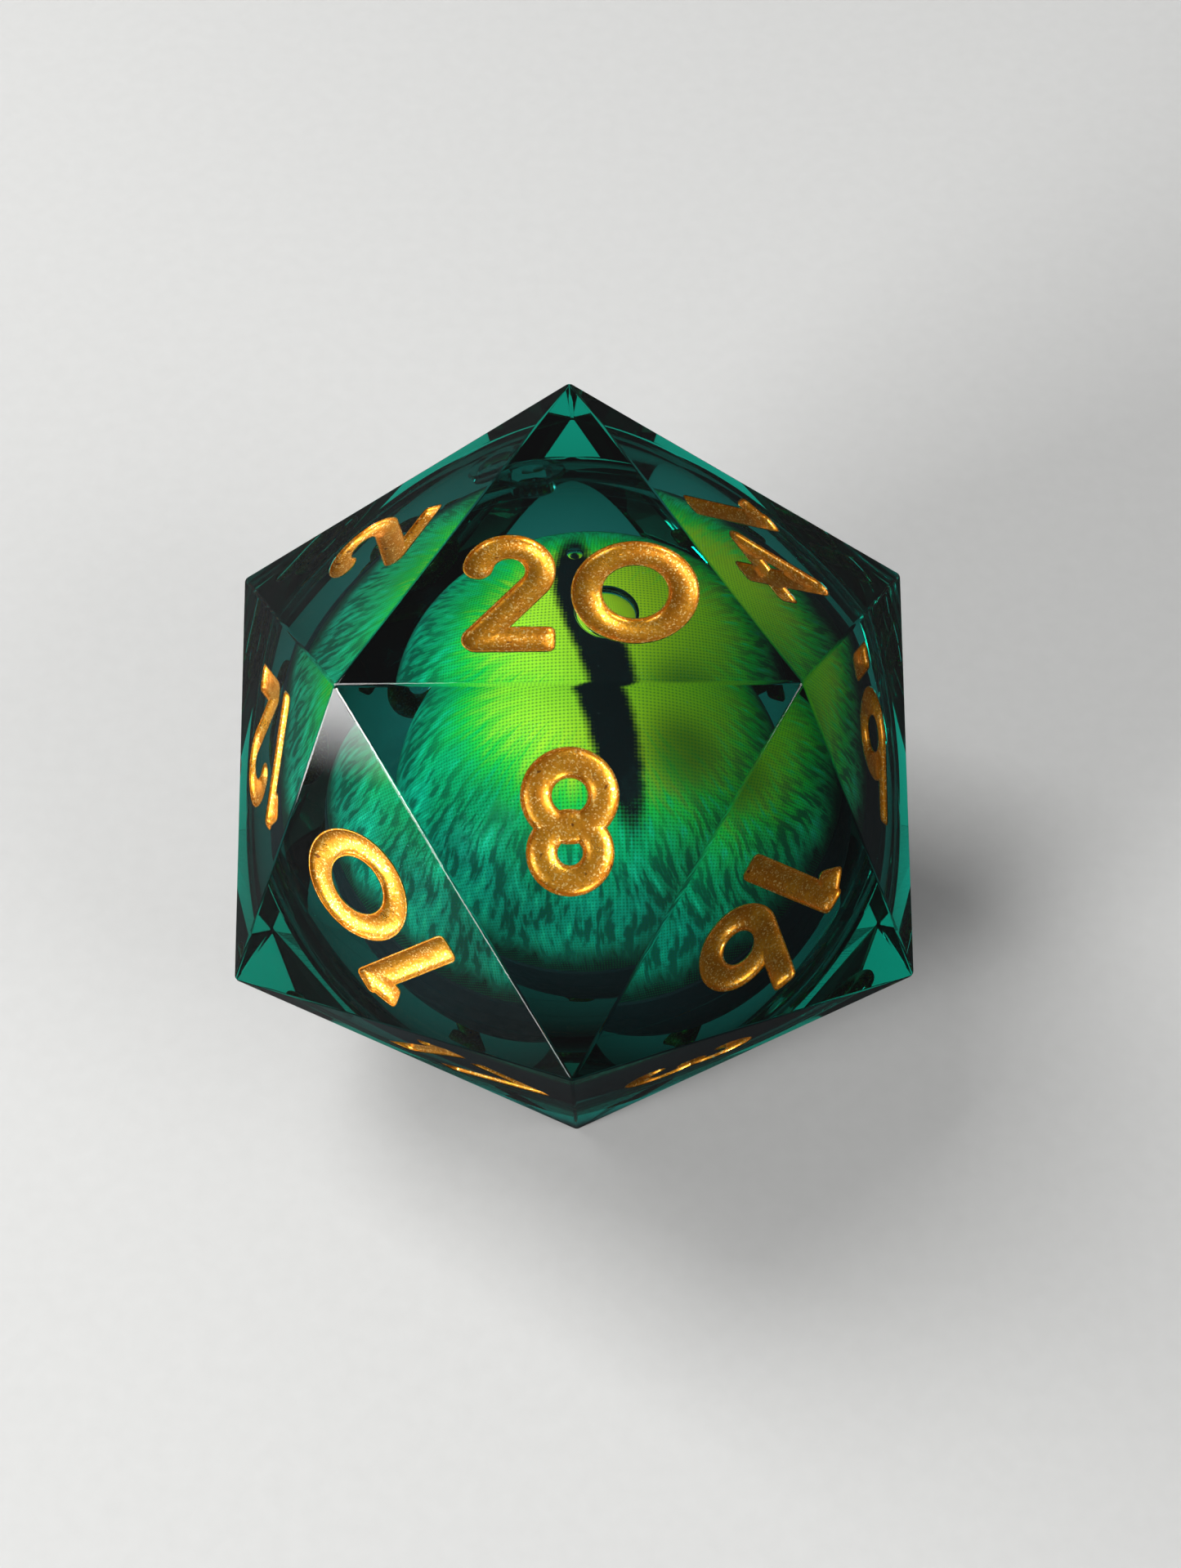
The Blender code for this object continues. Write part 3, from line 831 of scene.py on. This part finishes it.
# ---- eyeball ----------------------------------------------------------------------------------
gaze = Vector(
    (
        math.sin(GAZE_LEAN) * math.cos(GAZE_HEADING),
        math.sin(GAZE_LEAN) * math.sin(GAZE_HEADING),
        math.cos(GAZE_LEAN),
    )
)
eye_place = facing(gaze, EYE_MIDDLE)
cap = arc(EYE_R, 0, PRINT_HALF_ANGLE, 64) + arc(EYE_R - PRINT_THICK * 0.9, PRINT_HALF_ANGLE, 0, 24)
add_piece(
    "eye_print", lathe_mesh(cap, 192), iris, "eyeball", "iris_print", "iris_print", place=eye_place
)
under = EYE_R - PRINT_THICK
front = arc(under, 0, PRINT_HALF_ANGLE * 1.01, 24)
front += arc(EYE_R, PRINT_HALF_ANGLE * 1.02, FRONT_RIM, 24)
front += arc(EYE_R - EYE_WALL, FRONT_RIM, 0, 24)
add_piece(
    "eye_front", lathe_mesh(front), black, "eyeball", "black_plastic", "eyeball_front",
    place=eye_place,
)
back = arc(EYE_R, math.pi, BACK_RIM, 48) + arc(EYE_R - EYE_WALL, BACK_RIM, math.pi, 24)
add_piece(
    "eye_back", lathe_mesh(back), black, "eyeball", "black_plastic", "eyeball_back",
    place=eye_place,
)

# ---- bubbles ----------------------------------------------------------------------------------
for name, body, direction, radius, thick in BUBBLES:
    middle = CORE_INNER_R - BUBBLE_FROM_WALL - thick / 2
    top, bottom = [], []
    for k in range(BUBBLE_STEPS + 1):
        t = math.pi / 2 * k / BUBBLE_STEPS
        angle = radius / middle * math.sin(t)
        swell = thick / 2 * math.cos(t) if k < BUBBLE_STEPS else 0
        for side, out in ((top, 1), (bottom, -1)):
            reach = middle + out * swell
            side.append((reach * math.sin(angle), reach * math.cos(angle)))
    add_piece(
        f"bubble_{name}", lathe_mesh(top + bottom[-2::-1], 48), air, body, "air",
        f"air_bubble_{name}", place=facing(direction),
    )

for node, look in (("core_fill_plug", glue), ("eyeball_ballast", steel)):
    kept = frame["nodes"][node]
    kept.data.materials.clear()
    kept.data.materials.append(look)

# ---- floor, lights, camera --------------------------------------------------------------------
floor = bpy.data.objects.new("floor", block(1.5, -0.01, 0.0))
bpy.context.scene.collection.objects.link(floor)
floor.data.materials.append(floor_look())


def group(name, *starts):
    """A collection of the pieces whose names begin so, for the lamps' links."""
    made = bpy.data.collections.new(name)
    for piece in bpy.data.objects:
        if piece.name.startswith(starts):
            made.objects.link(piece)
    return made


def lamp(name, at, size, power, lights, blocked_by=None):
    """A square lamp aimed at the die. It lights one collection, and is blocked by all or by one."""
    made = bpy.data.objects.new(name, bpy.data.lights.new(name, "AREA"))
    made.data.shape, made.data.size, made.data.energy = "SQUARE", size, power
    made.location = at
    made.rotation_euler = (CENTRE - Vector(at)).to_track_quat("-Z", "Y").to_euler()
    made.light_linking.receiver_collection = lights
    made.light_linking.blocker_collection = blocked_by
    bpy.context.scene.collection.objects.link(made)


# each lamp is there twice: for the outside, and for what is inside the clear pieces, which their
# shadow would else hide; only the eye and the gold block the second
outside = group("outside", "floor", "resin", "gold")
inside = group("inside", "eye", "bubble", "core_fill")
solid = group("solid", "eye_", "gold")
for name, at, size, power in LAMPS:
    lamp(name, at, size, power, outside)
    lamp(name + "_inside", at, size, power, inside, solid)
world = bpy.data.worlds.new("studio")
world.use_nodes = True
world.node_tree.nodes["Background"].inputs[0].default_value = (*WORLD_COLOUR, 1)
world.node_tree.nodes["Background"].inputs[1].default_value = WORLD_POWER
bpy.context.scene.world = world

CAMERA_ELEVATION = math.radians(55.70)
CAMERA_AZIMUTH = math.radians(0.38)
CAMERA_ROLL = math.radians(-0.69)
CAMERA_DISTANCE = 6.442 * EDGE
CAMERA_SHIFT = (-0.042 * EDGE, 0.026 * EDGE)  # where the die's centre stands off the view's middle
CAMERA_LENS = 61.0  # on a sensor 36 mm high

back_axis = Vector(
    (
        math.sin(CAMERA_AZIMUTH) * math.cos(CAMERA_ELEVATION),
        -math.cos(CAMERA_AZIMUTH) * math.cos(CAMERA_ELEVATION),
        math.sin(CAMERA_ELEVATION),
    )
)
right_axis = Vector((0, 0, 1)).cross(back_axis).normalized()
up_axis = back_axis.cross(right_axis)
c, s = math.cos(CAMERA_ROLL), math.sin(CAMERA_ROLL)
right_axis, up_axis = c * right_axis + s * up_axis, c * up_axis - s * right_axis
eye_point = (
    CENTRE
    + CAMERA_DISTANCE * back_axis
    - CAMERA_SHIFT[0] * right_axis
    - CAMERA_SHIFT[1] * up_axis
)
camera = bpy.data.objects.new("camera", bpy.data.cameras.new("camera"))
camera.data.lens = CAMERA_LENS
camera.data.sensor_width = 36.0
camera.data.clip_start = 0.01
turned = Matrix((right_axis, up_axis, back_axis)).transposed().to_4x4()
camera.matrix_world = Matrix.Translation(eye_point) @ turned
bpy.context.scene.collection.objects.link(camera)
bpy.context.scene.camera = camera

scene = bpy.context.scene
scene.view_settings.view_transform = "Standard"
scene.cycles.use_denoising = True
scene.cycles.max_bounces = 16
scene.cycles.transmission_bounces = 14
scene.cycles.transparent_max_bounces = 24
scene.cycles.caustics_reflective = False
scene.cycles.caustics_refractive = False
